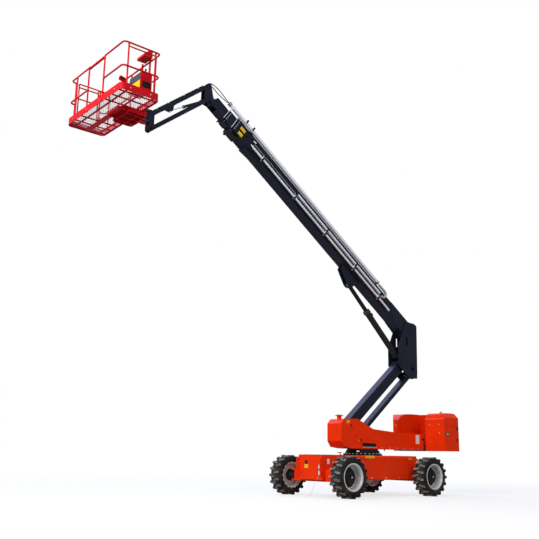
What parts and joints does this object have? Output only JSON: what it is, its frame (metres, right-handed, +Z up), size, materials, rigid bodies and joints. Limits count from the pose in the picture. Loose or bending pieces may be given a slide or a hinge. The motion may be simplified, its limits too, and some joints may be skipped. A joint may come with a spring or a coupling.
{
  "type": "electric telescopic boom lift",
  "caption": "Wheeled aerial work platform: turntable, parallel riser, telescopic boom, jib and a railed basket that turns level at the boom's end",
  "frame": {"origin": "on the ground, in the middle of the wheelbase", "axes": "+X forward along the boom, +Y to the left, +Z up"},
  "size_m": [10.952, 2.492, 9.6085],
  "materials": {
    "paint": "satin, orange red",
    "boom_paint": "satin, dark slate",
    "dark": "matt, near black",
    "tyre": "matt black",
    "rim": "silver grey",
    "silver": "satin",
    "rod": "polished",
    "basket_paint": "satin, red",
    "plate": "satin, grey",
    "cast": "machined, dull",
    "links": "dull",
    "lamp": "amber",
    "battery": "dull"
  },
  "bodies": {
    "chassis": {"chassis_frame": "paint", "side_covers": "paint", "front_axle": "dark", "rear_axle": "dark", "slew_ring_fixed": "cast"},
    "steer_left": {"steer_knuckle_left": "cast"},
    "steer_right": {"steer_knuckle_right": "cast"},
    "wheel_front_left": {"tyre_front_left": "tyre", "rim_front_left": "rim"},
    "wheel_front_right": {"tyre_front_right": "tyre", "rim_front_right": "rim"},
    "wheel_rear_left": {"tyre_rear_left": "tyre", "rim_rear_left": "rim"},
    "wheel_rear_right": {"tyre_rear_right": "tyre", "rim_rear_right": "rim"},
    "turntable": {"slew_ring_turning": "cast", "turntable_frame": "paint", "counterweight": "dark", "near_hood": "paint", "far_hood": "paint", "rear_wall": "paint", "battery_pack": "battery", "beacon": "lamp"},
    "near_door": {"near_door": "paint"},
    "far_door": {"far_door": "paint"},
    "riser": {"riser": "boom_paint"},
    "rear_link": {"rear_link": "boom_paint"},
    "upright": {"upright": "boom_paint"},
    "boom_base": {"boom_base": "boom_paint", "cable_track": "silver", "cable_chain": "links"},
    "boom_mid": {"boom_mid": "boom_paint", "cable_tube": "silver"},
    "boom_fly": {"boom_fly": "boom_paint"},
    "lift_barrel": {"lift_barrel": "dark"},
    "lift_rod": {"lift_rod": "rod"},
    "fly_head": {"fly_head": "boom_paint"},
    "jib_lower": {"jib_lower": "boom_paint"},
    "jib_upper": {"jib_upper": "boom_paint"},
    "jib_cylinder_barrel": {"jib_cylinder_barrel": "dark"},
    "jib_cylinder_rod": {"jib_cylinder_rod": "rod"},
    "jib_end": {"jib_end": "boom_paint"},
    "basket": {"basket_support": "basket_paint", "basket_floor": "dark", "basket_frame": "basket_paint", "basket_rails": "basket_paint", "console": "plate"},
    "basket_gate": {"basket_gate": "basket_paint"},
    "entry_bar": {"entry_bar": "basket_paint"}
  },
  "joints": [
    {"name": "steer_left", "type": "hinge", "parent": "chassis", "child": "steer_left", "pos_m": [1.475, 0.8, 0.485], "axis": [0, 0, 1], "range_deg": [-35, 35]},
    {"name": "steer_right", "type": "hinge", "parent": "chassis", "child": "steer_right", "pos_m": [1.475, -0.8, 0.485], "axis": [0, 0, 1], "range_deg": [-35, 35]},
    {"name": "roll_front_left", "type": "hinge", "parent": "steer_left", "child": "wheel_front_left", "pos_m": [1.475, 1.0675, 0.485], "axis": [0, 1, 0], "continuous": true},
    {"name": "roll_front_right", "type": "hinge", "parent": "steer_right", "child": "wheel_front_right", "pos_m": [1.475, -1.0675, 0.485], "axis": [0, 1, 0], "continuous": true},
    {"name": "roll_rear_left", "type": "hinge", "parent": "chassis", "child": "wheel_rear_left", "pos_m": [-1.475, 1.0675, 0.485], "axis": [0, 1, 0], "continuous": true},
    {"name": "roll_rear_right", "type": "hinge", "parent": "chassis", "child": "wheel_rear_right", "pos_m": [-1.475, -1.0675, 0.485], "axis": [0, 1, 0], "continuous": true},
    {"name": "slew", "type": "hinge", "parent": "chassis", "child": "turntable", "pos_m": [-0.13, 0, 1.062], "axis": [0, 0, 1], "continuous": true},
    {"name": "near_door_swing", "type": "hinge", "parent": "turntable", "child": "near_door", "pos_m": [-2.865, 0.965, 1.6], "axis": [0, 0, 1], "range_deg": [0, 110]},
    {"name": "far_door_swing", "type": "hinge", "parent": "turntable", "child": "far_door", "pos_m": [-2.865, -0.965, 1.6], "axis": [0, 0, 1], "range_deg": [-110, 0]},
    {"name": "riser_raise", "type": "hinge", "parent": "turntable", "child": "riser", "pos_m": [0.557, 0, 1.712], "axis": [0, 1, 0], "range_deg": [-36, 45]},
    {"name": "rear_link_raise", "type": "hinge", "parent": "turntable", "child": "rear_link", "pos_m": [0.2, 0, 1.365], "axis": [0, 1, 0], "range_deg": [-36, 45]},
    {"name": "upright_level", "type": "hinge", "parent": "riser", "child": "upright", "pos_m": [-1.56962, 0, 3.47129], "axis": [0, 1, 0], "range_deg": [-45, 36]},
    {"name": "boom_luff", "type": "hinge", "parent": "upright", "child": "boom_base", "pos_m": [-1.88, 0, 4.4], "axis": [0, -1, 0], "range_deg": [-35, 39.9]},
    {"name": "boom_telescope", "type": "slide", "parent": "boom_base", "child": "boom_mid", "axis": [0.8181, 0, 0.575], "range_m": [0, 5]},
    {"name": "fly_telescope", "type": "slide", "parent": "boom_mid", "child": "boom_fly", "axis": [0.8181, 0, 0.575], "range_m": [0, 5]},
    {"name": "lift_barrel_swing", "type": "hinge", "parent": "upright", "child": "lift_barrel", "pos_m": [-1.51, 0, 3.67], "axis": [0, -1, 0], "range_deg": [-31.5, 36]},
    {"name": "lift_rod_stroke", "type": "slide", "parent": "lift_barrel", "child": "lift_rod", "axis": [0.7264, 0, 0.6873], "range_m": [-0.465, 0.53]},
    {"name": "fly_head_level", "type": "hinge", "parent": "boom_fly", "child": "fly_head", "pos_m": [5.03, 0, 9.17], "axis": [0, -1, 0], "range_deg": [-39.9, 35]},
    {"name": "jib_raise", "type": "hinge", "parent": "fly_head", "child": "jib_lower", "pos_m": [5.175, 0, 9.165], "axis": [0, -1, 0], "range_deg": [-17, 75]},
    {"name": "jib_upper_raise", "type": "hinge", "parent": "fly_head", "child": "jib_upper", "pos_m": [5.175, 0, 9.515], "axis": [0, -1, 0], "range_deg": [-17, 75]},
    {"name": "jib_end_level", "type": "hinge", "parent": "jib_lower", "child": "jib_end", "pos_m": [6.62, 0, 8.005], "axis": [0, -1, 0], "range_deg": [-75, 17]},
    {"name": "jib_cylinder_swing", "type": "hinge", "parent": "fly_head", "child": "jib_cylinder_barrel", "pos_m": [5.175, 0, 9.165], "axis": [0, -1, 0], "range_deg": [-17, 75]},
    {"name": "jib_cylinder_stroke", "type": "slide", "parent": "jib_cylinder_barrel", "child": "jib_cylinder_rod", "axis": [0.8647, 0, -0.5023], "range_m": [-0.09, 0.395]},
    {"name": "basket_rotate", "type": "hinge", "parent": "jib_end", "child": "basket", "pos_m": [6.775, 0, 8.28], "axis": [0, 0, 1], "range_deg": [-90, 90]},
    {"name": "gate_swing", "type": "hinge", "parent": "basket", "child": "basket_gate", "pos_m": [7.3, -1.197, 8.7], "axis": [0, 0, 1], "range_deg": [0, 90]},
    {"name": "entry_bar_lift", "type": "hinge", "parent": "basket", "child": "entry_bar", "pos_m": [8.018, 0.32, 9.12], "axis": [-1, 0, 0], "range_deg": [0, 80]}
  ],
  "couplings": [
    {"joint": "steer_right", "follows": "steer_left", "ratio": 1},
    {"joint": "rear_link_raise", "follows": "riser_raise", "ratio": 1},
    {"joint": "upright_level", "follows": "riser_raise", "ratio": -1},
    {"joint": "fly_telescope", "follows": "boom_telescope", "ratio": 1},
    {"joint": "lift_barrel_swing", "follows": "boom_luff", "ratio": 0.9},
    {"joint": "lift_rod_stroke", "follows": "boom_luff", "m_per_rad": 0.76},
    {"joint": "fly_head_level", "follows": "boom_luff", "ratio": -1},
    {"joint": "jib_upper_raise", "follows": "jib_raise", "ratio": 1},
    {"joint": "jib_end_level", "follows": "jib_raise", "ratio": -1},
    {"joint": "jib_cylinder_swing", "follows": "jib_raise", "ratio": 1},
    {"joint": "jib_cylinder_stroke", "follows": "jib_raise", "m_per_rad": 0.3}
  ]
}
